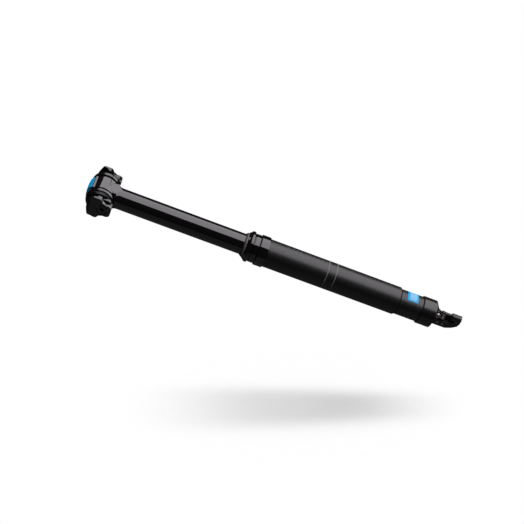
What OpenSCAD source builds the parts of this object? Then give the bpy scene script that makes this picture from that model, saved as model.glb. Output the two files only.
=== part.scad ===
// Height-adjustable bicycle seatpost with a cable-worked lock.
// Millimetres. +Z runs up the post, +X is the riding direction, the saddle rails run along X.
// The origin lies on the post's axis at the collar's lower shoulder, where insertion stops.

/* [Outer tube] */
// Outside diameter of the tube that the bicycle frame holds
tube_d = 30.9; // [30.4:0.1:34.9]
// Wall of the outer tube
tube_wall = 2.15; // [1.9:0.05:2.3]
// Wall of the turned-down lower stem
stem_wall = 1.6; // [1.4:0.1:1.9]
// Length of the turned-down lower stem
stem_len = 25.3; // [23:0.1:40]
// Depth of the shoulder between the tube and its stem
stem_step = 1.35; // [1.2:0.05:1.5]
// Width of each anti-rotation key
key_w = 2.8; // [2.2:0.1:3.4]
// Length of each anti-rotation key
key_len = 10; // [8:1:11]
// Number of anti-rotation keys
key_count = 3; // [2:1:4]

/* [Stanchion] */
// Drop of the saddle from its highest to its lowest place
travel = 120; // [75:5:150]
// Thickness of the glide ring between stanchion and tube
glide_t = 1.75; // [1.5:0.05:2]
// Wall of the stanchion
post_wall = 1.6; // [1.4:0.05:1.7]
// Bare stanchion left between wiper and neck at full drop
park_gap = 18; // [10:1:30]
// Length of the glide ring on the stanchion's foot
glide_len = 12; // [12:1:16]
// Length of stanchion below the glide ring
foot_len = 21; // [18:1:24]
// Length of the top-out spacer above the glide ring
spacer_len = 21; // [15:1:40]

/* [Collar] */
// How far the collar stands out from the tube
collar_lip = 1.45; // [1.2:0.05:3]
// Height of the collar
collar_h = 10.3; // [8:0.1:14]
// How far the gland nut's waist stands out from the tube
waist_lip = 0.25; // [0:0.05:1]
// Height of the gland nut's waist
gland_h = 6.1; // [6:0.1:9]
// How far the gland nut's grip ring stands out from the tube
grip_lip = 1.7; // [1.2:0.05:3.5]
// Height of the gland nut's grip ring
flange_h = 5.1; // [4.6:0.1:7]
// Height of the wiper above the grip ring
wiper_h = 5; // [4.6:0.1:7]

/* [Head] */
// Diameter of the cross barrel
barrel_d = 28.4; // [27:0.2:30]
// Length of the cross barrel
barrel_len = 18.2; // [17:0.2:20]
// Height of the barrel's axis above the start of the neck
barrel_rise = 19.3; // [18:0.1:22]
// Radius of the fillet where the neck flares below the clamp rings
neck_fillet = 8; // [6:0.5:12]
// Diameter of the saddle rails
rail_d = 7; // [6.8:0.1:7.2]
// Distance between the two rails' axes
rail_spacing = 43; // [42:0.5:45]
// Height of the rails above the barrel's axis
rail_rise = 5.2; // [4.6:0.1:6.5]
// Depth of the clamp bolt below the barrel's axis
bolt_drop = 5.8; // [5.6:0.1:6.4]
// Diameter of the clamp bolt
bolt_d = 6; // [5:0.5:6]
// Length of an outer clamp along the rail
clamp_len = 26; // [22:0.2:36]
// Length of an inner clamp's cradle along the rail
cradle_len = 21.4; // [20:0.2:36]
// Length of the clamps at the bolt, below the rail
clamp_waist = 14.6; // [13:0.2:18]
// Thickness of the outer clamps over the rail
clamp_t = 5; // [4.6:0.1:6]
// Thickness of the outer clamps at the bolt
plate_t = 4; // [3.8:0.1:4.5]
// Gap that closes when the rails are clamped
clamp_gap = 1; // [0.6:0.1:1.6]
// Height of the crown insert's dome
crown_h = 4.3; // [3:0.1:6]

/* [Cartridge] */
// Clearance between gas cylinder and stanchion
cyl_gap = 1; // [0.6:0.1:1.2]
// Wall of the gas cylinder
cyl_wall = 1.3; // [1:0.1:1.6]
// Radial depth of the piston between its rod and the cylinder
piston_ring = 3.6; // [3.2:0.1:4.2]
// Diameter of the release pin inside the rod
pin_d = 2.5; // [2:0.1:3]
// Length of the piston
piston_len = 12; // [9:1:16]

/* [Actuator] */
// Height of the end cap
cap_h = 19.5; // [18:0.1:30]
// Width of the slot milled across the end cap
slot_w = 21.2; // [20:0.2:23]
// Depth of that slot
slot_deep = 3.2; // [3:0.1:5]
// Thickness of the hooked bracket across the post
hook_t = 9; // [8.4:0.2:11]
// Length of the hooked bracket below the cap
hook_len = 31; // [30:0.5:36]
// Height of the stop for the cable's housing
stop_h = 10.5; // [9:0.5:12]
// Diameter of the lever's pivot pin
pivot_d = 2.5; // [2:0.1:3]
// Diameter of the cable barrel
anchor_d = 4.6; // [4:0.1:5]
// Diameter of the cable housing's end ferrule
housing_d = 5; // [4.6:0.1:5.2]
// Diameter of the control cable
cable_d = 1.2; // [1.1:0.1:1.6]

/* [Hidden] */
$fn = 96;
run_gap = 0.05;      // running clearance on the radius
seat_gap = 0.05;     // clearance between pieces that are fixed together
side_gap = 0.1;      // clearance at each side of a key
eps = 0.02;          // overshoot of cutting tools
tube_r = tube_d / 2;
bore_r = tube_r - tube_wall;
stem_r = tube_r - stem_step;
stem_bore_r = stem_r - stem_wall;
post_r = bore_r - glide_t - run_gap;
post_bore_r = post_r - post_wall;
// heights, from the collar's shoulder upwards
ledge = 0.4;         // groove between neighbouring rings
gland_z = collar_h;
flange_z = gland_z + gland_h + ledge;
flange_top = flange_z + flange_h;
wiper_top = flange_top + wiper_h;
ring_cord = 0.58;    // cord radius of the wiper's tension ring
ring_z = flange_top + 2.7;
neck_z = wiper_top + travel + park_gap;
barrel_z = neck_z + barrel_rise;
rail_z = barrel_z + rail_rise;
bolt_z = barrel_z - bolt_drop;
// heights, from the collar's shoulder downwards
spigot_end = 3;      // foot of the gland nut's spigot
spacer_top = spigot_end - 0.3;
glide_top = spacer_top - spacer_len;
glide_foot = glide_top - glide_len;
post_foot = glide_foot - foot_len;
foot_spare = 1.5;    // bore left below the glide ring at full drop
tube_foot = glide_foot - travel - foot_spare;
stem_cone = 1;       // height of the shoulder's cone
stem_foot = tube_foot - stem_cone - stem_len;
cap_top = stem_foot;
cap_foot = cap_top - cap_h;
slot_z = cap_foot + slot_deep;
cap_floor_z = slot_z + 5;
thread_foot = cap_floor_z + 2.5;
bumper_top = post_foot - travel - 0.3;
thread_drop = 0.5;   // how far a threaded end is turned down
// keys
key_pocket_r = post_r - 0.75;
key_out_r = bore_r + 0.8;
keyway_r = key_out_r + side_gap;
key_foot = glide_foot + (glide_len - key_len) / 2;
keyway_foot = key_foot - travel - 0.5;
// head
barrel_r = barrel_d / 2;
ring_r = barrel_r + 0.5;
ring_t = 3;
hub_r = barrel_r - 4.4;
hub_t = 2.4;
head_gap = 1.8;      // between the barrel's ends and the clamp rings
rail_r = rail_d / 2;
rail_y = rail_spacing / 2;
inner_face = rail_y - clamp_gap / 2;
outer_face = rail_y + clamp_gap / 2;
plate_y = outer_face + clamp_t;
rail_wall = 2.6;
bolt_r = bolt_d / 2;
bolt_hole_r = bolt_r + 0.3;
bolt_head_r = bolt_r + 2;
bolt_head_h = 2.4;   // low head, flush in its counterbore
washer_t = 0.7;
counter_r = bolt_head_r + 1;
counter_foot = plate_y - washer_t - bolt_head_h - 0.1;
boss_r = bolt_hole_r + 1.8;
boss_foot = plate_y - plate_t - 2.5;
waist_face = inner_face - 2;
drum_r = ring_r - 0.7;
drum_y = barrel_len / 2 + head_gap + ring_t + 0.8;
drum_end = drum_y + 2.8;
tilt_max = 12;
crown_x = 10.6;
crown_foot = barrel_z + 9;
crown_top = crown_foot + 3;
// cartridge
cyl_r = post_bore_r - cyl_gap;
cyl_bore_r = cyl_r - cyl_wall;
rod_r = cyl_bore_r - piston_ring;
pin_r = pin_d / 2;
retainer_h = 5;
cyl_foot = post_foot + retainer_h + 0.2;
post_bore_top = neck_z - 1;
cyl_top = post_bore_top - 0.3;
gland_len = 9;       // of the cylinder's lower head
piston_z = cyl_foot + gland_len + 2;
piston_top = piston_z + piston_len;
plug_len = 8;
float_len = 9;
float_z = cyl_top - plug_len - travel * pow(rod_r / cyl_bore_r, 2) - float_len - 3;
rod_hole_top = piston_top - 4;
// actuator
hook_y = hook_t / 2;
pivot_x = 3;
pivot_drop = 11.1;
pivot_z = slot_z - pivot_drop;
pivot_r = pivot_d / 2;
anchor_x = 5.4;
anchor_z = slot_z - 3.9;
anchor_r = anchor_d / 2;
lever_y = hook_y - 2.7;
lever_back = lever_y - 0.1;
lever_front = -hook_y + 1.2;
lever_hub_r = 3.3;
cable_slot = cable_d / 2 + 0.4;
nose_r = 1.6;
nose_gap = 0.06;     // between the lever's nose and the pin at rest
pin_foot = slot_z - 8;
rivet_r = 1.2;
hook_back = -9;
hook_arm_w = 7.8;
hook_foot = slot_z - hook_len;
hook_bar_h = 6.5;
hook_fillet = 3;
stop_x = anchor_x + 0.2;
stop_r = housing_d / 2 + 1.8;
stop_top = hook_foot + stop_h;
heel_rise = 6;       // slope of the bracket's heel, above its foot
heel_top = hook_foot + heel_rise + 6.5;
heel_foot = hook_foot + heel_rise;
web_drop = 6;
web_top = slot_z - web_drop;
rivet_drop = 8;      // first rivet below the cap's slot
rivet_pitch = 6;
tongue_len = rivet_drop + rivet_pitch + 3;
tongue_t = 3;

// Ring or sleeve about Z between two heights
module sleeve(r_out, r_in, z0, z1) {
    translate([0, 0, z0])
        difference() {
            cylinder(r = r_out, h = z1 - z0);
            translate([0, 0, -eps]) cylinder(r = r_in, h = z1 - z0 + 2 * eps);
        }
}

// Solid of revolution about Z from an outline of [radius, height] points
module turned(outline) {
    rotate_extrude() polygon(outline);
}

// Round bar along Y between two places
module bar_y(r, y0, y1, x = 0, z = 0) {
    translate([x, y0, z]) rotate([-90, 0, 0]) cylinder(r = r, h = y1 - y0);
}

// Prism along Y from an outline in X and Z
module slab_y(y0, y1) {
    translate([0, y1, 0]) rotate([90, 0, 0]) linear_extrude(y1 - y0) children();
}

// Ring of round section about Z
module o_ring(r_mid, r_cord, z) {
    translate([0, 0, z]) rotate_extrude() translate([r_mid, 0]) circle(r = r_cord, $fn = 16);
}

// Copies about Z, one for each key
module each_key() {
    for (i = [0 : key_count - 1]) rotate([0, 0, 60 + i * 360 / key_count]) children();
}

// The tube: long bore with keyways, a turned-down stem, and threads at both ends
module outer_tube() {
    color("#202123")
    difference() {
        turned([
            [bore_r, gland_z - 0.1], [tube_r - thread_drop, gland_z - 0.1], [tube_r - thread_drop, 0],
            [tube_r, 0], [tube_r, tube_foot + 0.4], [tube_r - 0.4, tube_foot], [stem_r, tube_foot - stem_cone],
            [stem_r, stem_foot], [stem_r - thread_drop, stem_foot - 0.4],
            [stem_r - thread_drop, thread_foot], [stem_bore_r, thread_foot],
            [stem_bore_r, tube_foot - stem_cone], [bore_r, tube_foot - stem_cone]
        ]);
        each_key() keyway();
    }
}

// One keyway inside the tube, open at the foot of the wide bore
module keyway() {
    half = key_w / 2 + side_gap;
    translate([bore_r - 1, -half, keyway_foot])
        cube([keyway_r - bore_r + 1, 2 * half, -keyway_foot - 4]);
}

// Gloss collar shrunk round the tube's mouth; its lower edge is the insertion stop
module collar() {
    r = tube_r + collar_lip;
    r_in = tube_r - thread_drop + seat_gap;
    color("#141416")
    turned([
        [r_in, 0.05], [r - 1, 0.05], [r, 0.9], [r, gland_z - 0.8], [r - 0.8, gland_z - 0.1], [r_in, gland_z - 0.1]
    ]);
}

// Gland nut: spigot in the tube, waist, grip ring and seat of the wiper
module gland_nut() {
    waist_r = tube_r + waist_lip;
    grip_r = tube_r + grip_lip;
    spigot_r = bore_r - seat_gap;
    seal_r = post_r + 2.3;
    nose_top = flange_top + 2;
    color("#141416")
    difference() {
        turned([
            [post_r + 0.85, spigot_end], [spigot_r, spigot_end], [spigot_r, gland_z],
            [waist_r - 0.6, gland_z], [waist_r - 0.6, gland_z + ledge], [waist_r, gland_z + ledge + 0.4],
            [waist_r, flange_z - ledge - 0.3], [waist_r - 0.6, flange_z - ledge], [waist_r - 0.6, flange_z],
            [grip_r - 1.2, flange_z], [grip_r - 0.35, flange_z + 0.7], [grip_r, flange_z + 2],
            [grip_r, flange_z + 3], [grip_r - 0.4, flange_z + 4.1], [grip_r - 1.2, flange_top],
            [post_r + 2.3, nose_top], [post_r + 0.85, nose_top]
        ]);
        sleeve(seal_r, post_r, flange_z - 2.6, flange_z + 0.4);
        translate([0, 0, flange_z + 2.2]) cylinder(r = post_r + 1.55, h = flange_h + 2);
    }
}

// Split plain bearing in the gland nut
module upper_bushing() {
    r_out = post_r + 0.85 - seat_gap;
    color("#b9a06a")
    difference() {
        sleeve(r_out, post_r + run_gap, spigot_end, flange_z - 3);
        translate([post_r - 2, -0.5, spigot_end - eps]) cube([4, 1, gland_h + collar_h]);
    }
}

// Lip seal below the wiper
module rod_seal() {
    z = flange_z - 2.5;
    color("#1b1b1b")
    turned([
        [post_r + run_gap, z + 0.6], [post_r + 0.7, z], [post_r + 2.25, z], [post_r + 2.25, z + 2.8],
        [post_r + 0.7, z + 2.8], [post_r + run_gap, z + 2.2]
    ]);
}

// Rubber wiper with its scraping lip
module wiper_seal() {
    z = flange_z + 2.25;
    groove_r = post_r + 1.5 - ring_cord - eps;
    groove_foot = ring_z - ring_cord - eps;
    groove_top = ring_z + ring_cord + eps;
    color("#1d1d1f")
    turned([
        [post_r + 0.3, z], [post_r + 1.5, z], [post_r + 1.5, groove_foot], [groove_r, groove_foot],
        [groove_r, groove_top], [post_r + 1.2, groove_top], [post_r + 0.35, wiper_top],
        [post_r + run_gap + 0.02, wiper_top - 0.4], [post_r + run_gap + 0.02, wiper_top - 1],
        [post_r + 0.42, flange_top + 2], [post_r + 0.3, flange_top + 1]
    ]);
}

// Tension ring in the wiper's groove
module wiper_ring() {
    color("#9a8d7c") o_ring(post_r + 1.5, ring_cord, ring_z);
}

// Cap on the stem's thread, with the slot for the actuator
module end_cap() {
    thread_r = stem_r - thread_drop + seat_gap;
    bevel = 3.6;
    color("#1c1d1f")
    difference() {
        turned([
            [thread_r, cap_top - 0.5], [stem_r + 0.3, cap_top - 0.5], [tube_r - 0.05, cap_top - 1.1],
            [tube_r - 0.05, cap_foot + bevel], [tube_r - 0.8 - bevel * 1.2, cap_foot],
            [rod_r + 2.2, cap_foot], [rod_r + 2.2, slot_z], [rod_r + seat_gap, slot_z],
            [rod_r + seat_gap, cap_floor_z], [thread_r, cap_floor_z]
        ]);
        translate([-slot_w / 2, -tube_r, cap_foot - eps]) cube([slot_w, tube_d, slot_deep + eps]);
    }
    color("#1c1d1f") cap_tongue();
}

// Tongue under the cap that the bracket is riveted to
module cap_tongue() {
    difference() {
        translate([hook_back + 1.6, -tongue_t / 2, slot_z - tongue_len])
            cube([hook_arm_w - 3.2, tongue_t, tongue_len + eps]);
        rivet_places() bar_y(rivet_r + seat_gap, -4, 4);
    }
}

// The two places where rivets cross the bracket's arm
module rivet_places() {
    for (i = [0, 1])
        translate([hook_back + hook_arm_w / 2, 0, slot_z - rivet_drop - i * rivet_pitch]) children();
}

// Seal between the cap and the stem
module cap_seal() {
    color("#191919") o_ring((stem_bore_r + stem_r - thread_drop) / 2, 0.55, thread_foot - 0.75);
}

// Hollow rod fixed in the cap; the release pin runs inside it
module piston_rod() {
    color("#b8bcc2")
    difference() {
        union() {
            translate([0, 0, slot_z + 0.05]) cylinder(r = rod_r, h = piston_top + 1.9 - slot_z);
            translate([0, 0, cap_floor_z + 0.05]) cylinder(r = rod_r + 1.6, h = 2);
        }
        translate([0, 0, slot_z - eps]) cylinder(r = pin_r + run_gap + 0.03, h = rod_hole_top - slot_z);
    }
}

// Nut that holds the piston on the rod
module rod_nut() {
    color("#8d9198")
    difference() {
        translate([0, 0, piston_top + 0.05]) cylinder(r = rod_r + 2, h = 3, $fn = 6);
        translate([0, 0, piston_top]) cylinder(r = rod_r + seat_gap, h = 2.02);
    }
}

// Piston with its seal groove
module piston() {
    groove_z = (piston_z + piston_top) / 2;
    r = cyl_bore_r - run_gap;
    color("#c9a54a")
    difference() {
        sleeve(r, rod_r + seat_gap, piston_z, piston_top);
        sleeve(r + 1, r - 1.6, groove_z - 1.3, groove_z + 1.3);
    }
}

// Seal ring of the piston
module piston_seal() {
    groove_z = (piston_z + piston_top) / 2;
    color("#20201f") sleeve(cyl_bore_r - run_gap, cyl_bore_r - run_gap - 1.55, groove_z - 1.2, groove_z + 1.2);
}

// Rubber buffer that the stanchion's foot meets at full drop
module bottom_bumper() {
    z = cap_floor_z + 2.1;
    r = stem_bore_r - 0.8;
    color("#26262a")
    turned([
        [rod_r + 0.3, z], [r, z], [r, z + 4], [r - 1.2, z + 5], [r, z + 6], [r, bumper_top - 1.2],
        [r - 1.2, bumper_top], [rod_r + 1.5, bumper_top], [rod_r + 0.3, bumper_top - 1.2]
    ]);
}

// Outline of the hooked bracket in X and Z
module hook_outline() {
    arm_front = hook_back + hook_arm_w;
    polygon([
        [hook_back, slot_z - 0.05], [hook_back, heel_top], [hook_back + 3.2, heel_foot],
        [-1.5, hook_foot + 1.2], [2.5, hook_foot], [stop_x, hook_foot], [stop_x, hook_foot + hook_bar_h],
        [arm_front, hook_foot + hook_bar_h], [arm_front, slot_z - 0.05]
    ]);
    difference() {
        translate([arm_front - 0.5, hook_foot + hook_bar_h - 0.5]) square(hook_fillet + 0.5);
        translate([arm_front + hook_fillet, hook_foot + hook_bar_h + hook_fillet]) circle(r = hook_fillet);
    }
}

// Hooked bracket: arm, web behind the lever, pivot ear and the stop for the cable's housing
module hook_bracket() {
    arm_front = hook_back + hook_arm_w;
    web_y = lever_y;
    color("#2a2b2d")
    difference() {
        union() {
            slab_y(-hook_y, hook_y) hook_outline();
            slab_y(web_y, hook_y) polygon([
                [arm_front - 1, web_top], [arm_front - 1, heel_foot], [stop_x, heel_foot],
                [stop_x, pivot_z - 2.5], [pivot_x + 3.2, pivot_z], [pivot_x, web_top]
            ]);
            bar_y(lever_hub_r, web_y, hook_y, pivot_x, pivot_z);
            translate([stop_x, 0, hook_foot]) cylinder(r = stop_r, h = stop_top - hook_foot);
        }
        translate([hook_back + 1.5, -tongue_t / 2 - 0.1, slot_z - tongue_len - 0.2])
            cube([hook_arm_w - 3, tongue_t + 0.2, tongue_len + 1]);
        rivet_places() bar_y(rivet_r + seat_gap, -hook_y - 1, hook_y + 1);
        bar_y(pivot_r + seat_gap, web_y - 1, hook_y + 1, pivot_x, pivot_z);
        translate([stop_x, 0, hook_foot - eps]) cylinder(r = housing_d / 2, h = 7 + eps);
        translate([stop_x, 0, hook_foot]) cylinder(r = cable_d / 2 + 0.5, h = stop_top - hook_foot + 1);
        translate([-nose_r - 0.35, lever_front - 0.3, pin_foot - 2 * nose_r - 1])
            cube([4, lever_y - lever_front + 0.3, slot_z - pin_foot + 2 * nose_r + 2]);
    }
}

// Rivets through the bracket's arm and the cap's tongue
module bracket_rivets() {
    color("#8f8578")
    rivet_places() {
        bar_y(rivet_r, -hook_y, hook_y);
        for (side = [-1, 1]) mirror([0, side < 0 ? 1 : 0, 0]) bar_y(rivet_r + 0.3, hook_y, hook_y + 0.35);
    }
}

// Pin that the lever turns on
module pivot_pin() {
    color("#c3beb4")
    union() {
        bar_y(pivot_r, lever_front - 0.5, hook_y + 0.2, pivot_x, pivot_z);
        bar_y(pivot_r + 0.6, lever_front - 0.9, lever_front - 0.1, pivot_x, pivot_z);
    }
}

// Metal liner of the housing stop
module housing_ferrule() {
    r = housing_d / 2 - seat_gap;
    color("#7f838a")
    translate([stop_x, 0, 0])
        sleeve(r, r - 0.35, hook_foot + 0.1, hook_foot + 6.95);
}

// Lever: two cheeks on the pivot, a nose under the pin and a seat for the cable barrel
module cam_lever() {
    seat_r = anchor_r + 1.1;
    color("#a4a7ad")
    difference() {
        slab_y(lever_front, lever_back) lever_outline(seat_r);
        bar_y(pivot_r + run_gap, -hook_y - 1, hook_y + 1, pivot_x, pivot_z);
        bar_y(anchor_r + run_gap, -hook_y - 1, hook_y + 1, anchor_x, anchor_z);
        translate([pivot_x + pivot_r + 0.3, -cable_slot, pivot_z - 8])
            cube([12, 2 * cable_slot, anchor_z - pivot_z + 13]);
    }
}

// Outline of the lever in X and Z
module lever_outline(seat_r) {
    lean = atan2(anchor_x - pivot_x, anchor_z - pivot_z);
    arm_run = norm([anchor_x - pivot_x, anchor_z - pivot_z]);
    translate([pivot_x, pivot_z]) circle(r = lever_hub_r);
    translate([anchor_x, anchor_z]) circle(r = seat_r);
    translate([pivot_x, pivot_z]) rotate(-lean) translate([-2.4, 0]) square([5.2, arm_run]);
    translate([0, pin_foot - nose_r - nose_gap]) circle(r = nose_r);
    polygon([
        [-0.4, pin_foot - nose_r * 2], [pivot_x, pivot_z - lever_hub_r + 0.05],
        [pivot_x, pivot_z + lever_hub_r - 0.3], [0.9, pin_foot - 0.3]
    ]);
}

// Swivelling barrel that grips the cable
module cable_barrel() {
    color("#b9b4ab")
    difference() {
        bar_y(anchor_r, -hook_y - 0.2, hook_y - 0.5, anchor_x, anchor_z);
        translate([anchor_x, 0, anchor_z - 6]) cylinder(r = cable_d / 2 + 0.15, h = 12);
        bar_y(1.5, -hook_y - 1, 1, anchor_x, anchor_z);
    }
}

// Slotted screw in the barrel's end that pinches the cable
module anchor_screw() {
    head_y = -hook_y - 2.4;
    color("#cfcac2")
    difference() {
        union() {
            bar_y(anchor_r + 0.4, head_y, -hook_y - 0.25, anchor_x, anchor_z);
            bar_y(1.45, -hook_y - 0.3, -1, anchor_x, anchor_z);
        }
        translate([anchor_x - 4, head_y - 1, anchor_z - 0.4]) cube([8, 2, 0.8]);
    }
}

// Pin that the lever pushes to open the valve
module release_pin() {
    color("#cfd2d6")
    translate([0, 0, pin_foot]) cylinder(r = pin_r, h = rod_hole_top - 2 - pin_foot);
}

// Stanchion and head in one forging
module upper_post() {
    half = barrel_len / 2;
    color("#17171a")
    difference() {
        union() {
            translate([0, 0, post_foot]) cylinder(r = post_r, h = neck_z - post_foot);
            intersection() {
                neck_flare();
                neck_sides();
                neck_room();
            }
            bar_y(barrel_r, -half, half, 0, barrel_z);
            slab_y(-half, half) crown_outline();
        }
        translate([0, 0, post_foot - eps]) cylinder(r = post_bore_r, h = post_bore_top - post_foot + eps);
        for (side = [0, 1]) mirror([0, side, 0]) bar_y(hub_r + run_gap, half - hub_t - 0.3, half + 1, 0, barrel_z);
        bolt_slot();
        crown_pocket();
        translate([-barrel_r, -barrel_len, crown_top]) cube([barrel_d, 2 * barrel_len, 10]);
        each_key() key_pocket();
    }
}

// Round flare of the neck below the barrel
module neck_flare() {
    flare_r = barrel_r - 0.5;
    top = barrel_z - 4;
    rotate_extrude()
        difference() {
            translate([0, neck_z - 0.5]) square([flare_r, top - neck_z + 0.5]);
            translate([post_r + neck_fillet, neck_z]) circle(r = neck_fillet);
            translate([post_r, neck_z - 1]) square([neck_fillet, 1]);
        }
}

// Front and back of the neck: long arcs that run from the post's sides into the barrel
module neck_sides() {
    meet_x = (post_r + barrel_r) / 2;
    rise = barrel_z - sqrt(barrel_r * barrel_r - meet_x * meet_x) - neck_z;
    run = meet_x - post_r;
    side_r = (run * run + rise * rise) / (2 * run);
    slab_y(-barrel_d, barrel_d)
        difference() {
            translate([-barrel_r, neck_z - 1]) square([barrel_d, barrel_rise]);
            for (side = [-1, 1]) {
                translate([side * (post_r + side_r), neck_z]) circle(r = side_r);
                translate([side * (post_r + side_r) - side_r, neck_z - 2]) square([2 * side_r, 2]);
            }
        }
}

// Room for the neck: between the clamp rings, and below them as far as they turn
module neck_room() {
    half = barrel_len / 2;
    translate([-barrel_d, -half, neck_z - 1]) cube([2 * barrel_d, barrel_len, 2 * barrel_d]);
    difference() {
        translate([-barrel_d, -barrel_d, neck_z - 1]) cube([2 * barrel_d, 2 * barrel_d, barrel_rise]);
        bar_y(ring_r + 0.6, -2 * barrel_d, 2 * barrel_d, 0, barrel_z);
    }
}

// Raised rim on top of the barrel that frames the insert
module crown_outline() {
    polygon([
        [-crown_x, crown_foot], [-crown_x, crown_top - 0.6], [0.6 - crown_x, crown_top],
        [crown_x - 0.6, crown_top], [crown_x, crown_top - 0.6], [crown_x, crown_foot],
        [crown_x - 3, crown_foot - 2], [3 - crown_x, crown_foot - 2]
    ]);
}

// Pocket that takes the insert and its foot
module crown_pocket() {
    wall = 1.1;
    translate([wall - crown_x, wall - barrel_len / 2, crown_top - 1.6])
        cube([2 * (crown_x - wall), barrel_len - 2 * wall, 3]);
    translate([-6, -4, crown_top - 5]) cube([12, 8, 5]);
}

// Curved slot that lets the bolt swing as the saddle tilts
module bolt_slot() {
    steps = [-tilt_max : tilt_max : tilt_max];
    span = 2 * bolt_drop * sin(tilt_max);
    for (a = steps)
        translate([0, 0, barrel_z]) rotate([0, a, 0]) translate([0, 0, -barrel_z])
            bar_y(bolt_hole_r, -barrel_len, barrel_len, 0, bolt_z);
    translate([-span / 2, -barrel_len, bolt_z - bolt_hole_r + 0.05])
        cube([span, 2 * barrel_len, 2 * bolt_hole_r]);
}

// Pocket in the stanchion for one key
module key_pocket() {
    translate([key_pocket_r, -key_w / 2 - seat_gap, key_foot - seat_gap])
        cube([4, key_w + 2 * seat_gap, key_len + 2 * seat_gap]);
}

// Domed insert on top of the head
module crown_insert() {
    wall = 1.1;
    half_x = crown_x - wall - seat_gap;
    half_y = barrel_len / 2 - wall - seat_gap;
    dome_r = (half_x * half_x + crown_h * crown_h) / (2 * crown_h);
    side_r = 40;
    color("#1ca4dc")
    union() {
        translate([-half_x, -half_y, crown_top - 1.55]) cube([2 * half_x, 2 * half_y, 1.56]);
        intersection() {
            translate([-half_x, -half_y, crown_top]) cube([2 * half_x, 2 * half_y, crown_h + 1]);
            bar_y(dome_r, -half_y - 1, half_y + 1, 0, crown_top + crown_h - dome_r);
            translate([-half_x - 1, 0, crown_top + crown_h - side_r])
                rotate([0, 90, 0]) cylinder(r = side_r, h = 2 * half_x + 2);
        }
        translate([-5.9, -3.9, crown_top - 4.9]) cube([11.8, 7.8, 3.4]);
    }
}

// Split glide ring on the stanchion, with a window for each key
module glide_ring() {
    half = key_w / 2 + side_gap;
    color("#d8c79a")
    difference() {
        sleeve(bore_r - run_gap, post_r + 0.03, glide_foot, glide_top);
        each_key() translate([post_r - 1, -half, key_foot - side_gap])
            cube([6, 2 * half, key_len + 2 * side_gap]);
    }
}

// Brass keys that stop the stanchion turning
module keys() {
    color("#c8a24c")
    each_key()
        translate([key_pocket_r + seat_gap, -key_w / 2, key_foot])
            cube([key_out_r - key_pocket_r - seat_gap, key_w, key_len]);
}

// Plastic sleeve that sets the highest place of the saddle
module top_out_spacer() {
    color("#3a3a3e") sleeve(bore_r - 0.5, post_r + run_gap, glide_top + 0.05, spacer_top);
}

// Threaded ring that holds the gas cylinder in the stanchion
module retainer() {
    color("#6d7178")
    difference() {
        sleeve(post_bore_r - seat_gap, rod_r + 2.4, post_foot + 0.05, post_foot + retainer_h);
        for (a = [0 : 90 : 270]) rotate([0, 0, a]) translate([rod_r, -1.2, post_foot - eps])
            cube([post_bore_r - rod_r - 0.9, 2.4, 2]);
    }
}

// Cylinder of the gas spring
module gas_cylinder() {
    color("#7b7f86") sleeve(cyl_r, cyl_bore_r, cyl_foot, cyl_top);
}

// Lower head of the cylinder, which guides and seals the rod
module cylinder_gland() {
    r = cyl_bore_r - seat_gap;
    color("#c9a54a")
    difference() {
        sleeve(r, rod_r + run_gap, cyl_foot + 0.05, cyl_foot + gland_len);
        sleeve(r + 1, r - 1.2, cyl_foot + 4, cyl_foot + 5.8);
    }
}

// Plug in the cylinder's upper end, with its filling valve
module cylinder_plug() {
    z = cyl_top - plug_len;
    r = cyl_bore_r - seat_gap;
    color("#8d9198")
    difference() {
        translate([0, 0, z]) cylinder(r = r, h = plug_len);
        translate([0, 0, z + 2]) cylinder(r = 3.5, h = plug_len);
        sleeve(r + 1, r - 1.2, z + 3, z + 4.8);
    }
    color("#c9a54a") translate([0, 0, z + 1.95]) cylinder(r = 2.4, h = plug_len - 2.4);
}

// Piston that parts the oil from the gas
module floating_piston() {
    r = cyl_bore_r - run_gap;
    color("#9aa0a8")
    difference() {
        translate([0, 0, float_z]) cylinder(r = r, h = float_len);
        translate([0, 0, float_z + 3]) cylinder(r = r - 2, h = float_len);
        sleeve(r + 1, r - 1, float_z + 1, float_z + 2.4);
    }
}

// Inner clamp: hub in the barrel, ring, drum and cradle for the rail
module inner_clamp(side) {
    half = barrel_len / 2;
    ring_y = half + head_gap;
    groove_r = drum_r - 0.8;
    mirror([0, side > 0 ? 0 : 1, 0])
    difference() {
        union() {
            bar_y(hub_r, half - hub_t, ring_y + 0.1, 0, barrel_z);
            bar_y(ring_r, ring_y, ring_y + ring_t, 0, barrel_z);
            bar_y(groove_r, ring_y + ring_t - 0.1, drum_y + 0.1, 0, barrel_z);
            bar_y(drum_r, drum_y, drum_end, 0, barrel_z);
            slab_y(drum_end - 0.1, waist_face) waist_outline(foot = bolt_z - 7.6);
            slab_y(drum_end - 0.1, inner_face) rail_outline(cradle_len / 2, rail_z + rail_r + 1.6);
        }
        rail_groove();
        bar_y(bolt_hole_r, 0, rail_spacing, 0, bolt_z);
        bar_y(boss_r + 0.15, boss_foot - 0.3, rail_spacing, 0, bolt_z);
    }
}

// Outline of a clamp's upper part, half its length to each side, in X and Z
module rail_outline(half, top) {
    foot = rail_z - 9;
    polygon([
        [0.8 - half, rail_z - 7.4], [-half, rail_z - 5.8], [-half, rail_z + 0.8], [1.2 - half, rail_z + 2.8],
        [8 - half, top], [half - 8, top], [half - 1.2, rail_z + 2.8], [half, rail_z + 0.8],
        [half, rail_z - 5.8], [half - 0.8, rail_z - 7.4], [half - 3, foot], [3 - half, foot]
    ]);
}

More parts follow.
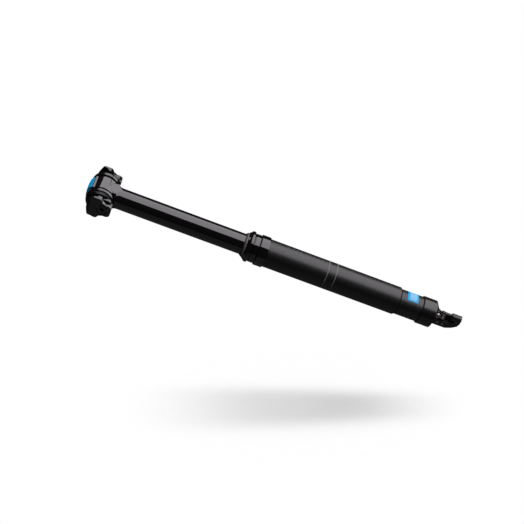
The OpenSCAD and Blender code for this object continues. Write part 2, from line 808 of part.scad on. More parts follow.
// Outline of a clamp's lower part round the bolt, in X and Z
module waist_outline(foot) {
    half = clamp_waist / 2;
    polygon([
        [-half - 2.4, rail_z - 8], [-half, bolt_z - 2.4], [-half, foot + 3.2], [1.4 - half, foot + 0.8],
        [3.2 - half, foot], [half - 3.2, foot], [half - 1.4, foot + 0.8], [half, foot + 3.2],
        [half, bolt_z - 2.4], [half + 2.4, rail_z - 8]
    ]);
}

// Space with a round top over the rail and no limit below it
module rail_crown() {
    r = rail_r + rail_wall;
    translate([-clamp_len, rail_y, rail_z]) rotate([0, 90, 0]) cylinder(r = r, h = 2 * clamp_len);
    translate([-clamp_len, rail_y - r, rail_z - 2 * clamp_len]) cube([2 * clamp_len, 2 * r, 2 * clamp_len]);
}

// Groove that the saddle rail lies in
module rail_groove() {
    translate([-clamp_len, rail_y, rail_z]) rotate([0, 90, 0]) cylinder(r = rail_r, h = 2 * clamp_len);
}

module inner_clamp_right() { color("#2b2b2e") inner_clamp(-1); }
module inner_clamp_left() { color("#2b2b2e") inner_clamp(1); }

// Outer clamp: thick part over the rail, thinner plate round the bolt, fulcrum lip at the foot
module outer_clamp(side) {
    foot = bolt_z - 9.2;
    lip_half = clamp_waist / 2 - 1.6;
    plate_in = plate_y - plate_t;
    mirror([0, side > 0 ? 0 : 1, 0])
    difference() {
        union() {
            slab_y(plate_in, plate_y) waist_outline(foot);
            intersection() {
                slab_y(outer_face, plate_y) rail_outline(clamp_len / 2, rail_z + rail_r + rail_wall - 0.1);
                rail_crown();
            }
            slab_y(waist_face + 0.1, plate_in + 0.1)
                translate([-lip_half, foot + 0.8]) square([2 * lip_half, 2.4]);
            bar_y(boss_r, boss_foot, plate_in + 0.5, 0, bolt_z);
        }
        rail_groove();
        bar_y(bolt_hole_r, 0, rail_spacing, 0, bolt_z);
        bar_y(counter_r, counter_foot, rail_spacing, 0, bolt_z);
    }
}

module outer_clamp_right() { color("#2a2b2d") outer_clamp(-1); }
module outer_clamp_left() { color("#2a2b2d") outer_clamp(1); }

// Socket-head bolt across the head, its head on the right side
module clamp_bolt() {
    seat_y = -counter_foot - washer_t - 0.05;
    socket = bolt_head_h - 0.8;
    color("#56585c")
    difference() {
        union() {
            bar_y(bolt_r, seat_y, counter_foot + 1, 0, bolt_z);
            bar_y(bolt_head_r, seat_y - bolt_head_h, seat_y, 0, bolt_z);
        }
        translate([0, seat_y - bolt_head_h + socket + 1.2, bolt_z]) rotate([90, 0, 0])
            cylinder(r = bolt_r * 0.96, h = 4, $fn = 6);
    }
}

// Washer under the bolt's head
module bolt_washer() {
    color("#8f9399")
    difference() {
        bar_y(counter_r - 0.3, -counter_foot - washer_t, -counter_foot - 0.02, 0, bolt_z);
        bar_y(bolt_r + 0.1, -rail_spacing, 0, 0, bolt_z);
    }
}

// Round nut in the left outer clamp
module clamp_nut() {
    color("#77797e")
    difference() {
        bar_y(counter_r - 0.1, counter_foot + 0.02, plate_y + 0.4, 0, bolt_z);
        bar_y(bolt_r + run_gap, 0, counter_foot + 1.5, 0, bolt_z);
    }
}

outer_tube();
collar();
gland_nut();
upper_bushing();
rod_seal();
wiper_seal();
wiper_ring();
end_cap();
cap_seal();
piston_rod();
piston();
piston_seal();
rod_nut();
bottom_bumper();
hook_bracket();
bracket_rivets();
pivot_pin();
housing_ferrule();
upper_post();
crown_insert();
glide_ring();
keys();
top_out_spacer();
retainer();
gas_cylinder();
cylinder_gland();
cylinder_plug();
floating_piston();
inner_clamp_right();
inner_clamp_left();
outer_clamp_right();
outer_clamp_left();
clamp_bolt();
bolt_washer();
clamp_nut();
cam_lever();
cable_barrel();
anchor_screw();
release_pin();
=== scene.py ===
import bmesh
import bpy
import math
from mathutils import Matrix, Vector


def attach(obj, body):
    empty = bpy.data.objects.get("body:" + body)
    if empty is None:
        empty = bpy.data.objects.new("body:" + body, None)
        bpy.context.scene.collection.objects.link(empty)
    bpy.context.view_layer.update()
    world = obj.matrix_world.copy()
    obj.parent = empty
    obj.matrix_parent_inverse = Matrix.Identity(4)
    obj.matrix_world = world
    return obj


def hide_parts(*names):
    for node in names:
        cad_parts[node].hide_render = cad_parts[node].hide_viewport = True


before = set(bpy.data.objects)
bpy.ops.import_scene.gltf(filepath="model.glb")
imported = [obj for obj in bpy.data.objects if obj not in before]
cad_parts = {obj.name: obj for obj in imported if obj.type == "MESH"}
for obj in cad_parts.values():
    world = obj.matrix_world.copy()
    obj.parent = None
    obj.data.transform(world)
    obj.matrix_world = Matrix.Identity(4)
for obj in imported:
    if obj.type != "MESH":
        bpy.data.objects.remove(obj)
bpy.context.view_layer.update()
MM = 0.001
ORIGIN, AXIS = Vector((0, 0, 0)), Vector((0, 0, 1))

# Outer tube.
# A drawn and turned aluminium tube, satin black anodised. The bicycle frame holds it up to the
# collar's shoulder. Its foot is turned down to a narrower stem, which takes the end cap's thread.
TURN_STEPS, WELD = 160, 1e-7
ROUNDED, CREASE = 24, math.radians(40)
CLOUD_SCALE, CLOUD_DETAIL, LINE_DETAIL = 90, 6, 3
SHEEN_FROM, SHEEN_TO, SHEEN_SPREAD = 0.3, 0.7, 0.14
BUMP_STRENGTH = 0.6


def closed_up(bm):
    """Joins the corners that a full turn brings together, and turns every face outwards."""
    bmesh.ops.remove_doubles(bm, verts=bm.verts, dist=WELD)
    bmesh.ops.recalc_face_normals(bm, faces=bm.faces)
    return bm


def lathe(outline):
    """Turns a closed outline of (radius, height) pairs in millimetres about the post's axis."""
    bm = bmesh.new()
    corners = [bm.verts.new((r * MM, 0, z * MM)) for r, z in outline]
    edges = [bm.edges.new(pair) for pair in zip(corners, corners[1:] + corners[:1])]
    bmesh.ops.spin(bm, geom=corners + edges, cent=ORIGIN, axis=AXIS, angle=math.tau,
                   steps=TURN_STEPS, use_merge=True)
    return closed_up(bm)


def break_edges(bm, width, sharper_than=ROUNDED):
    """Rounds every edge that is sharper than an angle in degrees, by a width in millimetres."""
    limit = math.radians(sharper_than)
    sharp = [e for e in bm.edges if e.is_manifold and e.calc_face_angle() > limit]
    bmesh.ops.bevel(bm, geom=sharp, offset=width * MM, offset_type="OFFSET", segments=2,
                    profile=0.5, affect="EDGES", clamp_overlap=True, material=-1)
    return bm


def show(bm, name, body, material, slot, *nodes):
    """Makes the finished piece: its shading, material and body; the CAD nodes it stands for are
    hidden.
    """
    for face in bm.faces:
        face.smooth = True
    for edge in bm.edges:
        edge.smooth = not (edge.is_manifold and edge.calc_face_angle() > CREASE)
    mesh = bpy.data.meshes.new(name)
    bm.to_mesh(mesh)
    bm.free()
    mesh.materials.append(material)
    piece = bpy.data.objects.new(name, mesh)
    bpy.context.scene.collection.objects.link(piece)
    even = piece.modifiers.new("even shading", "WEIGHTED_NORMAL")
    even.keep_sharp = True
    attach(piece, body)
    if nodes:
        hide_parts(*nodes)
    return piece


def second_finish(piece, material, wanted):
    """Gives another material to the faces whose centre, in millimetres, is wanted for it."""
    piece.data.materials.append(material)
    for face in piece.data.polygons:
        if wanted(face.center / MM):
            face.material_index = 1


def add_node(tree, kind, **values):
    """A new shader node with some inputs set, where an underscore stands for a space."""
    node = tree.nodes.new("ShaderNode" + kind)
    for name, value in values.items():
        node.inputs[name.replace("_", " ")].default_value = value
    return node


def finish(name, colour, roughness, metallic=0.0, ior=1.5, mottle=0.12, grain=(60, 60, 60),
           depth=0.0):
    """A worked surface: its colour and roughness wander a little, and a fine grain bumps it."""
    material = bpy.data.materials.new(name)
    material.use_nodes = True
    tree = material.node_tree
    link = tree.links.new
    shader = tree.nodes["Principled BSDF"]
    shader.inputs["Metallic"].default_value = metallic
    shader.inputs["IOR"].default_value = ior
    place = add_node(tree, "TexCoord").outputs["Object"]
    cloud = add_node(tree, "TexNoise", Scale=CLOUD_SCALE, Detail=CLOUD_DETAIL)
    link(place, cloud.inputs["Vector"])
    tint = add_node(tree, "Mix")
    tint.data_type = "RGBA"
    share, dark, pale = tint.inputs[0], tint.inputs[6], tint.inputs[7]
    dark.default_value = [c * (1 - mottle) for c in colour] + [1]
    pale.default_value = [min(1, c * (1 + mottle)) for c in colour] + [1]
    link(cloud.outputs["Fac"], share)
    link(tint.outputs[2], shader.inputs["Base Color"])
    stretch = add_node(tree, "Mapping", Scale=grain)
    link(place, stretch.inputs["Vector"])
    lines = add_node(tree, "TexNoise", Scale=1, Detail=LINE_DETAIL)
    link(stretch.outputs["Vector"], lines.inputs["Vector"])
    sheen = add_node(tree, "MapRange", From_Min=SHEEN_FROM, From_Max=SHEEN_TO,
                     To_Min=roughness * (1 - SHEEN_SPREAD),
                     To_Max=min(1, roughness * (1 + SHEEN_SPREAD)))
    link(lines.outputs["Fac"], sheen.inputs["Value"])
    link(sheen.outputs["Result"], shader.inputs["Roughness"])
    if depth:
        bump = add_node(tree, "Bump", Strength=BUMP_STRENGTH, Distance=depth * MM)
        link(lines.outputs["Fac"], bump.inputs["Height"])
        link(bump.outputs["Normal"], shader.inputs["Normal"])
    return material


TURNED = (40, 40, 5200)
tube_r, tube_bore_r, stem_r, stem_bore_r = 15.45, 13.3, 14.1, 12.5
tube_mouth, tube_foot, stem_foot, thread_foot = 10.2, -151.8, -178.1, -186.9
neck_r, thread_r, step_z = tube_r - 0.5, stem_r - 0.5, tube_foot - 1
seam_top, seam_foot = tube_foot - 0.05, tube_foot - 1.1
turned_edge = 0.12
satin_black = finish("satin black anodising", (0.003, 0.003, 0.0032), 0.38, ior=1.62,
                     grain=TURNED, depth=0.0012)
tube_bm = lathe([
    (tube_bore_r, tube_mouth), (neck_r, tube_mouth), (neck_r, 0), (tube_r, 0),
    (tube_r, tube_foot + 0.4), (tube_r - 0.4, tube_foot), (stem_r, step_z), (stem_r, stem_foot),
    (thread_r, stem_foot - 0.4), (thread_r, thread_foot), (stem_bore_r, thread_foot),
    (stem_bore_r, step_z), (tube_bore_r, step_z),
])
tube = show(break_edges(tube_bm, turned_edge), "tube", "outer", satin_black, "satin_black_tube",
            "outer_tube")
# Painted shade: a near-black matt finish on the step between the tube and the stem stands for the
# shade in that groove. The floor of the screw's slot below gets it too.
painted_shade = finish("painted shade", (0.0015, 0.0015, 0.0015), 0.85, ior=1.2)
second_finish(tube, painted_shade, lambda centre: seam_foot < centre.z < seam_top)

# Printed marks.
# Two thin grey lines run round the tube, and a row of plain depth ticks lies along it. A blue label
# without words is stuck on the stem. The prints are a few hundredths of a millimetre thick.
CAMERA_SIDE = math.radians(-49)
SUNK = 0.02


def plate_on(radius, turn, half_turn, z0, z1, thick, steps):
    """A thin plate round the post: the turn of its middle from the camera side, and of a half."""
    bm = bmesh.new()
    start = math.radians(turn - half_turn) + CAMERA_SIDE
    outwards = Vector((math.cos(start), math.sin(start), 0))
    face = bm.faces.new([
        bm.verts.new(outwards * r * MM + AXIS * z * MM)
        for r, z in ((radius, z0), (radius + thick, z0), (radius + thick, z1), (radius, z1))
    ])
    bmesh.ops.spin(bm, geom=[face], cent=ORIGIN, axis=AXIS, angle=math.radians(2 * half_turn),
                   steps=steps)
    return closed_up(bm)


def joined(parts):
    """One bmesh from several."""
    whole = bmesh.new()
    for part in parts:
        mesh = bpy.data.meshes.new("part")
        part.to_mesh(mesh)
        part.free()
        whole.from_mesh(mesh)
        bpy.data.meshes.remove(mesh)
    return whole


line_half, ink_t = 0.55, 0.04
line_in_r, line_out_r = tube_r - 0.1, tube_r + ink_t
line_places = (-67.4, -76.9)
grey_ink = finish("grey print", (0.11, 0.12, 0.11), 0.5, mottle=0.2, grain=(900, 900, 900))
lines_bm = joined([
    lathe([(line_in_r, z - line_half), (line_out_r, z - line_half),
           (line_out_r, z + line_half), (line_in_r, z + line_half)]) for z in line_places
])
show(lines_bm, "band_lines", "outer", grey_ink, "satin_black_tube")

tick_first, tick_step, tick_count, tick_half = -20, 5, 10, 0.2
scale_turn, scale_half = 52, 0.7
tick_middles, tick_half_turns = (scale_turn + 6, scale_turn + 4), (5, 3)
scale_foot = tick_first - tick_step * (tick_count - 1)
ticks = [plate_on(tube_r - SUNK, scale_turn, scale_half, scale_foot, tick_first, ink_t, 2)]
for i in range(tick_count):
    z = tick_first - tick_step * i
    ticks.append(plate_on(tube_r - SUNK, tick_middles[i % 2], tick_half_turns[i % 2],
                          z - tick_half, z + tick_half, ink_t, 8))
show(joined(ticks), "depth_ticks", "outer", grey_ink, "satin_black_tube")

label_blue = finish("blue label film", (0.0, 0.34, 0.68), 0.45, ior=1.3, mottle=0.04,
                    grain=(400, 400, 400))
label_pale = finish("pale label print", (0.19, 0.46, 0.68), 0.45, ior=1.3, mottle=0.03,
                    grain=(400, 400, 400))
label_foot, label_top, label_turn, label_half, film_t = -172.0, -159.6, 62, 42, 0.1
panel_foot, panel_top, panel_half, panel_r = -170.0, -162.2, 36, stem_r + 0.07
film = plate_on(stem_r - SUNK, label_turn, label_half, label_foot, label_top, film_t, 40)
show(film, "stem_label", "outer", label_blue, "satin_black_tube")
panel = plate_on(panel_r, label_turn, panel_half, panel_foot, panel_top, ink_t, 40)
show(panel, "label_panel", "outer", label_pale, "satin_black_tube")

# Collar and gland nut.
# Two turned aluminium rings, polished and gloss black anodised. The collar is shrunk round the
# tube's mouth and stops it in the frame. The gland nut screws into it and holds the bushing and
# the wiper.
gloss_black = finish("gloss black anodising", (0.0022, 0.0022, 0.0024), 0.07, ior=1.77,
                     mottle=0.05)
collar_r, collar_in_r, collar_foot, collar_top = 16.9, 15.0, 0.05, 10.2
collar = lathe([
    (collar_in_r, collar_foot), (collar_r - 0.9, collar_foot), (collar_r - 0.25, 0.25),
    (collar_r, 0.9), (collar_r, collar_top - 0.7), (collar_r - 0.7, collar_top),
    (collar_in_r, collar_top),
])
show(break_edges(collar, turned_edge), "collar_ring", "outer", gloss_black, "gloss_black_collar",
     "collar")

waist_r, grip_r, post_r = 15.7, 17.15, 11.5
skirt_foot, gland_z, flange_z, flange_top = 3, 10.3, 16.8, 21.9
skirt_r, guide_r, seam_r = tube_bore_r - 0.05, post_r + 0.85, waist_r - 0.6
gland = lathe([
    (guide_r, skirt_foot), (skirt_r, skirt_foot), (skirt_r, gland_z), (seam_r, gland_z),
    (seam_r, gland_z + 0.5), (waist_r - 0.1, gland_z + 0.6), (waist_r, gland_z + 0.9),
    (waist_r, flange_z - 0.9), (waist_r - 0.1, flange_z - 0.6), (seam_r, flange_z - 0.5),
    (seam_r, flange_z + 0.1), (grip_r - 1.0, flange_z + 0.3), (grip_r - 0.3, flange_z + 0.8),
    (grip_r, flange_z + 1.3), (grip_r, flange_z + 3.3), (grip_r - 0.4, flange_z + 3.9),
    (grip_r - 1.5, flange_top - 0.3), (post_r + 2.5, flange_top + 1.9),
    (post_r + 2.2, flange_top + 2), (post_r + 1.6, flange_top + 2),
    (post_r + 1.6, flange_z + 2.2), (guide_r, flange_z + 2.2),
])
show(break_edges(gland, turned_edge), "gland_ring", "outer", gloss_black, "gloss_black_collar",
     "gland_nut")

# Wiper.
# A moulded rubber lip that scrapes the stanchion clean, pressed into the gland nut, with a thin
# tan ring in its groove that keeps the lip tight.
rubber = finish("black rubber", (0.010, 0.010, 0.011), 0.55, mottle=0.2,
                grain=(1400, 1400, 1400), depth=0.01)
wiper_foot, wiper_top = flange_z + 2.25, 26.9
ring_cord, ring_mid, ring_z = 0.58, post_r + 1.5, flange_top + 2.7
seat_r, seat_foot, seat_top = ring_mid - 0.6, ring_z - 0.6, ring_z + 0.6
lip_arc = [
    (post_r + 1.25 - 0.9 * math.sin(math.radians(a)) ** 2,
     seat_top + 1.7 * math.sin(math.radians(a)))
    for a in range(0, 91, 15)
]
wiper = lathe([
    (post_r + 0.3, wiper_foot), (ring_mid, wiper_foot), (ring_mid, seat_foot),
    (seat_r, seat_foot), (seat_r, seat_top), *lip_arc, (post_r + 0.07, wiper_top - 0.4),
    (post_r + 0.07, wiper_top - 1), (post_r + 0.42, flange_top + 2),
    (post_r + 0.3, flange_top + 1),
])
show(break_edges(wiper, 0.08), "wiper", "outer", rubber, "wiper_rubber", "wiper_seal")

tan_rubber = finish("tan ring", (0.19, 0.16, 0.13), 0.5, mottle=0.1, grain=(900, 900, 900),
                    depth=0.01)
cord = [
    (ring_mid + ring_cord * math.cos(math.radians(a)),
     ring_z + ring_cord * math.sin(math.radians(a)))
    for a in range(0, 360, 24)
]
show(lathe(cord), "tension_ring", "outer", tan_rubber, "tan_ring", "wiper_ring")

# Stanchion and head.
# The sliding post is one forging with its head: a ground and polished tube below, a flared neck,
# and a barrel across it that the rail clamps turn on. It is gloss black anodised all over.
PACKED_WELD, FLAT, PACKED_ROUNDED = 1e-6, math.radians(0.5), 28


def welded(node):
    """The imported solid's own shape, with its corners welded and its flats joined."""
    bm = bmesh.new()
    bm.from_mesh(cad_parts[node].data)
    bmesh.ops.remove_doubles(bm, verts=bm.verts, dist=PACKED_WELD)
    bmesh.ops.dissolve_limit(bm, angle_limit=FLAT, verts=bm.verts, edges=bm.edges)
    return bm


def from_part(node, width):
    """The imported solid's own shape with its edges rounded, but not the facets of its curves."""
    return break_edges(welded(node), width, PACKED_ROUNDED)


show(from_part("upper_post", 0.15), "stanchion", "post", gloss_black, "gloss_black_post",
     "upper_post")

# Crown insert.
# A domed blue plastic cap pressed into the rim on top of the head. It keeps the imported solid's
# shape.
insert_blue = finish("blue insert", (0.001, 0.39, 0.78), 0.25, mottle=0.06,
                     grain=(500, 500, 500), depth=0.004)
show(from_part("crown_insert", 0.3), "blue_insert", "post", insert_blue, "blue_insert",
     "crown_insert")

# Rail clamps.
# Forged and machined aluminium. The inner clamps turn in the barrel's ends, cradle the saddle's
# rails from inside and have two ribs below; the outer clamps close over the rails and carry the
# bolt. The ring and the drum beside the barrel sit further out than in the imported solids.
NEAR = 0.1
barrel_z, hub_r, groove_rim_r, groove_end = 184.2, 13.0, 13.95, 17.22
drum_start, drum_end, drum_taper = 17.2, 18.8, 0.92
steps_out = ((10.9, 11.9), (13.9, 14.9), (14.7, drum_start), (17.5, drum_end))
rear_corner = (((-13, 190.2), (-12.3, 187.4)), ((-11.8, 192.2), (-9.8, 191.2)))
rib_start, rib_end, rib_edge = 18.4, 21.85, 0.2
rib_outlines = (
    [(6.3, 172), (7.2, 171.2), (9.2, 173), (10, 175.4), (10, 181.4), (10.8, 182.6),
     (10.8, 184.5), (6.3, 184.5)],
    [(-6.3, 184.5), (-10.8, 184.5), (-9.6, 179.8), (-8.8, 174.4), (-7.2, 171.4), (-6.3, 172)],
)


def slab(outline, side, y0, y1):
    """A plate on one side of the head, with its outline in X and Z, from one depth to another."""
    bm = bmesh.new()
    face = bm.faces.new([bm.verts.new((x * MM, side * y0 * MM, z * MM)) for x, z in outline])
    copy = bmesh.ops.extrude_face_region(bm, geom=[face])
    far_corners = [v for v in copy["geom"] if isinstance(v, bmesh.types.BMVert)]
    bmesh.ops.translate(bm, verts=far_corners, vec=(0, side * (y1 - y0) * MM, 0))
    bmesh.ops.recalc_face_normals(bm, faces=bm.faces)
    return bm


def shape_drum(bm):
    """Moves an inner clamp's ring and drum out, and draws the drum's rim in to a cone."""
    for vert in bm.verts:
        x, z = vert.co.x, vert.co.z - barrel_z * MM
        for old, new in steps_out:
            level = abs(abs(vert.co.y) - old * MM) < NEAR * MM
            if level and math.hypot(x, z) > hub_r * MM:
                vert.co.y = math.copysign(new * MM, vert.co.y)
                if new == drum_end:
                    vert.co.x, vert.co.z = x * drum_taper, barrel_z * MM + z * drum_taper
                break
    return bm


def round_rear(bm):
    """Draws the rear upper corner of an outer clamp's plate in."""
    for vert in bm.verts:
        for (x, z), (new_x, new_z) in rear_corner:
            if abs(vert.co.x - x * MM) < NEAR * MM and abs(vert.co.z - z * MM) < NEAR * MM:
                vert.co.x, vert.co.z = new_x * MM, new_z * MM
                break
    return bm


def in_shaded_groove(centre):
    """Whether a face lies in the grooves beside an inner clamp's ring, which get a matt rubber
    finish as painted shade.
    """
    inside_rim = math.hypot(centre.x, centre.z - barrel_z) < groove_rim_r
    return inside_rim and abs(centre.y) < groove_end


forged_black = finish("forged black anodising", (0.003, 0.003, 0.0033), 0.12, ior=1.7, mottle=0.1,
                      grain=(700, 700, 700), depth=0.003)
for name, side in (("right", -1), ("left", 1)):
    hub = break_edges(shape_drum(welded("inner_clamp_" + name)), 0.15)
    ribs = [break_edges(slab(outline, side, rib_start, rib_end), rib_edge)
            for outline in rib_outlines]
    cradle = show(joined([hub] + ribs), "cradle_" + name, "saddle_clamp", forged_black,
                  "black_forged", "inner_clamp_" + name)
    # Painted shade: the grooves beside the ring get the matt black rubber finish to darken them.
    second_finish(cradle, rubber, in_shaded_groove)
    plate = break_edges(round_rear(welded("outer_clamp_" + name)), 0.3)
    show(plate, "clamp_plate_" + name, name + "_clamp", forged_black, "black_forged",
         "outer_clamp_" + name)

# Bolt, washer and nut.
# A steel socket-head bolt, blacked, with a bright washer under its head, and a round nut in the
# left clamp.
black_steel = finish("blacked steel", (0.085, 0.085, 0.09), 0.25, metallic=1.0, mottle=0.15,
                     grain=(900, 900, 900))
bright_steel = finish("bright steel", (0.5, 0.49, 0.47), 0.25, metallic=1.0, mottle=0.1,
                      grain=(300, 4000, 300))
show(from_part("clamp_bolt", 0.25), "socket_bolt", "bolt", black_steel, "bolt_steel", "clamp_bolt")
show(from_part("bolt_washer", 0.12), "washer", "bolt", bright_steel, "bolt_steel", "bolt_washer")
show(from_part("clamp_nut", 0.2), "round_nut", "left_clamp", black_steel, "bolt_steel",
     "clamp_nut")

# End cap.
# A turned aluminium cap on the stem's thread, a little glossier than the tube, with a slot milled
# across its foot.
cap_black = finish("black cap anodising", (0.003, 0.003, 0.0032), 0.28, ior=1.66, grain=TURNED,
                   depth=0.001)
show(from_part("end_cap", 0.2), "foot_cap", "outer", cap_black, "satin_black_tube", "end_cap")

# Hooked bracket.
# A black metal bracket riveted to the cap's tongue. It carries the lever's pivot and the stop for
# the cable's housing, which is lined with a bright ferrule.
bracket_black = finish("bracket black", (0.006, 0.006, 0.0065), 0.3, ior=1.6, mottle=0.2,
                       grain=(800, 800, 800), depth=0.006)
brown_steel = finish("brown rivet steel", (0.32, 0.27, 0.22), 0.35, metallic=1.0, mottle=0.15,
                     grain=(900, 900, 900))
show(from_part("hook_bracket", 0.3), "cable_bracket", "outer", bracket_black, "bracket_black",
     "hook_bracket")
show(from_part("bracket_rivets", 0.12), "rivets", "outer", brown_steel, "screw_steel",
     "bracket_rivets")
show(from_part("pivot_pin", 0.12), "lever_pivot", "outer", bright_steel, "screw_steel",
     "pivot_pin")
show(from_part("housing_ferrule", 0.05), "ferrule", "outer", bright_steel, "screw_steel",
     "housing_ferrule")

# Lever and cable barrel.
# A steel lever rocks on the pivot and lifts the release pin. The cable's end is pinched in a
# barrel in its tip by a slotted screw, which stands turned. The floor of its slot is painted
# near-black as shade.
lever_grey = finish("lever steel", (0.05, 0.05, 0.052), 0.32, metallic=1.0, mottle=0.15,
                    grain=(900, 900, 900))
screw_steel = finish("screw steel", (0.52, 0.48, 0.43), 0.3, metallic=1.0, mottle=0.1,
                     grain=(900, 900, 900))
anchor_x, anchor_z, screw_turn = 5.4, -198.3, math.radians(80)
slot_floor, slot_reach = -5.6, 0.6
show(from_part("cam_lever", 0.2), "rocker", "lever", lever_grey, "lever_steel", "cam_lever")
show(from_part("cable_barrel", 0.12), "barrel", "barrel", screw_steel, "lever_steel",
     "cable_barrel")


def in_slot(centre):
    """Whether a face is the floor of the screw's slot, which is painted near-black as shade."""
    off_axis = math.hypot(centre.x - anchor_x, centre.z - anchor_z)
    return centre.y < slot_floor and off_axis < slot_reach


screw_bm = from_part("anchor_screw", 0.15)
bmesh.ops.rotate(screw_bm, verts=screw_bm.verts, cent=(anchor_x * MM, 0, anchor_z * MM),
                 matrix=Matrix.Rotation(screw_turn, 3, "Y"))
screw = show(screw_bm, "slotted_screw", "barrel", screw_steel, "screw_steel", "anchor_screw")
# Painted shade: the floor of the slot gets the near-black matt finish.
second_finish(screw, painted_shade, in_slot)

# Inside pieces.
# The cartridge, its rod and the guides are hidden unless the post is taken apart. They keep the
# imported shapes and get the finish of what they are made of.
brass = finish("brass", (0.55, 0.40, 0.17), 0.28, metallic=1.0, mottle=0.1, grain=(900, 900, 900))
steel_rod = finish("ground steel rod", (0.55, 0.55, 0.56), 0.15, metallic=1.0, mottle=0.05,
                   grain=(60, 60, 6000))
alloy = finish("turned alloy", (0.32, 0.33, 0.34), 0.3, metallic=1.0, mottle=0.1,
               grain=(60, 60, 6000))
polymer = finish("bearing polymer", (0.42, 0.34, 0.20), 0.5, mottle=0.15, grain=(900, 900, 900))
spacer_black = finish("black plastic", (0.02, 0.02, 0.022), 0.45, mottle=0.15,
                      grain=(900, 900, 900))
inside = {
    brass: ("keys", "piston", "cylinder_gland"),
    steel_rod: ("piston_rod", "release_pin"),
    alloy: ("rod_nut", "retainer", "gas_cylinder", "cylinder_plug", "floating_piston"),
    polymer: ("upper_bushing", "glide_ring"),
    spacer_black: ("top_out_spacer", "bottom_bumper"),
    rubber: ("rod_seal", "cap_seal", "piston_seal"),
}
for material, names in inside.items():
    for name in names:
        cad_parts[name].data.materials[0] = material

# Studio.
# A catalogue picture on white: a long soft light above the post, a second that reaches the head
# alone, and a faint one below. A small sheet of floor with soft edges lies under the post, with
# its own soft light, which gives the post a shadow.
lens, sensor, distance, far_clip = 83.4, 36, 1295.5 * MM, 20
yaw, rise, roll = math.radians(41), math.radians(7.402), math.radians(-69.819)
towards = Vector((math.sin(yaw) * math.cos(rise), -math.cos(yaw) * math.cos(rise),
                  math.sin(rise)))
level_up = (AXIS - towards * towards.z).normalized()
level_right = level_up.cross(towards)
right = math.cos(roll) * level_right + math.sin(roll) * level_up
up = math.cos(roll) * level_up - math.sin(roll) * level_right
across = (up - AXIS * up.z).normalized()
front = across.cross(AXIS)
aim = 0.69 * MM * AXIS - 11.171 * MM * level_right
camera_shift = 0.27 * MM * across


def turned_to(x_axis, y_axis, z_axis, place):
    """The transform whose axes point along three directions, at a place."""
    turn = Matrix((x_axis, y_axis, z_axis)).transposed().to_4x4()
    turn.translation = place
    return turn


camera = bpy.data.objects.new("camera", bpy.data.cameras.new("camera"))
camera.data.lens = lens
camera.data.sensor_width = sensor
camera.data.clip_end = far_clip
camera.matrix_world = turned_to(right, up, towards, aim + distance * towards + camera_shift)
bpy.context.scene.collection.objects.link(camera)
bpy.context.scene.camera = camera


def beside(angle):
    """The direction square to the post at an angle in degrees above the camera's side."""
    return math.cos(math.radians(angle)) * front + math.sin(math.radians(angle)) * across


def soft_light(name, facing, away, width, length, radiance, runs=AXIS, centre=ORIGIN):
    """A rectangular light that shines on a point from a direction, its length along another."""
    lamp = bpy.data.lights.new(name, "AREA")
    lamp.shape = "RECTANGLE"
    lamp.size, lamp.size_y = width, length
    lamp.energy = radiance * math.pi * width * length
    holder = bpy.data.objects.new(name, lamp)
    holder.matrix_world = turned_to(runs.cross(facing), runs, facing, centre + facing * away)
    holder.visible_camera = False
    bpy.context.scene.collection.objects.link(holder)
    return holder


lamp_colour = (1.0, 0.96, 1.01)
top_light = soft_light("top light", beside(63), away=0.6, width=0.94, length=2.6, radiance=2.3,
                       centre=-0.35 * AXIS)
top_light.data.color = lamp_colour
low_light = soft_light("low light", beside(-96), away=0.8, width=1.5, length=1.9, radiance=0.07)
head_light = soft_light("head light", beside(116), away=0.6, width=0.38, length=1.2,
                        radiance=2.3, centre=-0.68 * AXIS)
head_light.data.color = lamp_colour

floor_tilt = math.radians(16.98)
floor_drop, floor_shift, floor_back = 0.1695, 0.0394, 0.0181
floor_reach, floor_soft = 0.038, 0.17
floor_normal = math.cos(floor_tilt) * up + math.sin(floor_tilt) * towards
floor_away = floor_normal.cross(right)
floor_middle = (aim - floor_drop * floor_normal + floor_shift * right
                + floor_back * floor_away)
floor_size = floor_reach + floor_soft
floor_bm = bmesh.new()
bmesh.ops.create_grid(floor_bm, x_segments=1, y_segments=1, size=floor_size)
floor_mesh = bpy.data.meshes.new("floor")
floor_bm.to_mesh(floor_mesh)
floor_bm.free()
floor = bpy.data.objects.new("floor", floor_mesh)
floor.matrix_world = turned_to(right, floor_away, floor_normal, floor_middle)
bpy.context.scene.collection.objects.link(floor)
floor_light = soft_light("floor light", floor_normal, away=6, width=3.6, length=14.2,
                         radiance=4.51, runs=right, centre=aim - 0.56 * right)

all_but_floor = bpy.data.collections.new("all but the floor")
all_but_floor.objects.link(floor)
all_but_floor.collection_objects[0].light_linking.link_state = "EXCLUDE"
floor_alone = bpy.data.collections.new("floor alone")
floor_alone.objects.link(floor)
head_alone = bpy.data.collections.new("head alone")
for name in ("stanchion", "cradle_right", "cradle_left", "clamp_plate_right"):
    head_alone.objects.link(bpy.data.objects[name])
top_light.light_linking.receiver_collection = all_but_floor
low_light.light_linking.receiver_collection = all_but_floor
head_light.light_linking.receiver_collection = head_alone
floor_light.light_linking.receiver_collection = floor_alone


def join(tree, operation, *terms):
    """One Math node over sockets and plain numbers."""
    node = tree.nodes.new("ShaderNodeMath")
    node.operation = operation
    node.use_clamp = True
    for socket, term in zip(node.inputs, terms):
        if isinstance(term, (int, float)):
            socket.default_value = term
        else:
            tree.links.new(term, socket)
    return node.outputs[0]


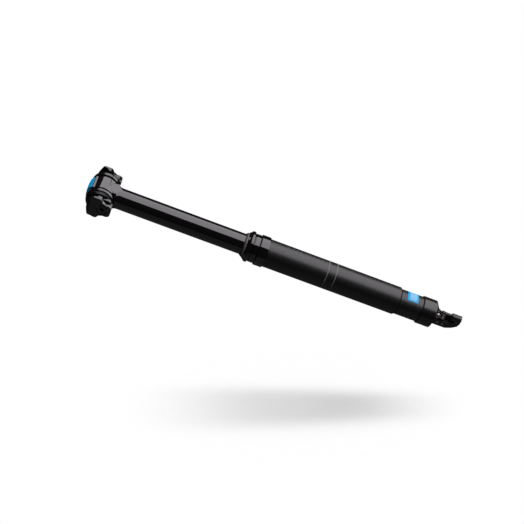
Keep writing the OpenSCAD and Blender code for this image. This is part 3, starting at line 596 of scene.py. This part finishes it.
paper = bpy.data.materials.new("white paper")
paper.use_nodes = True
tree = paper.node_tree
link = tree.links.new
tree.nodes.remove(tree.nodes["Principled BSDF"])
rays = add_node(tree, "LightPath")
spot = add_node(tree, "TexCoord")
away_from_middle = add_node(tree, "VectorMath")
away_from_middle.operation = "LENGTH"
link(spot.outputs["Object"], away_from_middle.inputs[0])
fade = add_node(tree, "MapRange", From_Min=floor_reach, From_Max=floor_size,
                To_Min=1, To_Max=0)
fade.interpolation_type = "SMOOTHSTEP"
link(away_from_middle.outputs["Value"], fade.inputs["Value"])
above = join(tree, "SUBTRACT", 1, add_node(tree, "NewGeometry").outputs["Backfacing"])
seen = join(tree, "MULTIPLY", join(tree, "MULTIPLY", fade.outputs[0], above),
            rays.outputs["Is Camera Ray"])
white = add_node(tree, "BsdfDiffuse", Color=(0.9, 0.9, 0.9, 1))
clear = add_node(tree, "BsdfTransparent")
blend = add_node(tree, "MixShader")
link(seen, blend.inputs[0])
link(clear.outputs[0], blend.inputs[1])
link(white.outputs[0], blend.inputs[2])
link(blend.outputs[0], tree.nodes["Material Output"].inputs["Surface"])
floor_mesh.materials.append(paper)

# The camera, and mirror rays that go off behind the post, see a white world; the rest a dim one.
backdrop_edge, backdrop_full = 0.95, 0.985
dim_world, white_world = 0.022, 1.0
world = bpy.data.worlds.new("studio")
world.use_nodes = True
bpy.context.scene.world = world
tree = world.node_tree
link = tree.links.new
background = tree.nodes["Background"]
background.inputs["Color"].default_value = (1, 1, 1, 1)
rays = add_node(tree, "LightPath")
way = add_node(tree, "TexCoord")
behind = add_node(tree, "VectorMath")
behind.operation = "DOT_PRODUCT"
behind.inputs[1].default_value = -towards
link(way.outputs["Generated"], behind.inputs[0])
backdrop = add_node(tree, "MapRange", From_Min=backdrop_edge, From_Max=backdrop_full)
link(behind.outputs["Value"], backdrop.inputs["Value"])
mirrored = join(tree, "MAXIMUM", rays.outputs["Is Glossy Ray"], rays.outputs["Is Transmission Ray"])
lit = join(tree, "MAXIMUM", rays.outputs["Is Camera Ray"],
           join(tree, "MULTIPLY", mirrored, backdrop.outputs[0]))
strength = add_node(tree, "MapRange", To_Min=dim_world, To_Max=white_world)
link(lit, strength.inputs["Value"])
link(strength.outputs[0], background.inputs["Strength"])

bpy.context.scene.view_settings.view_transform = "Standard"
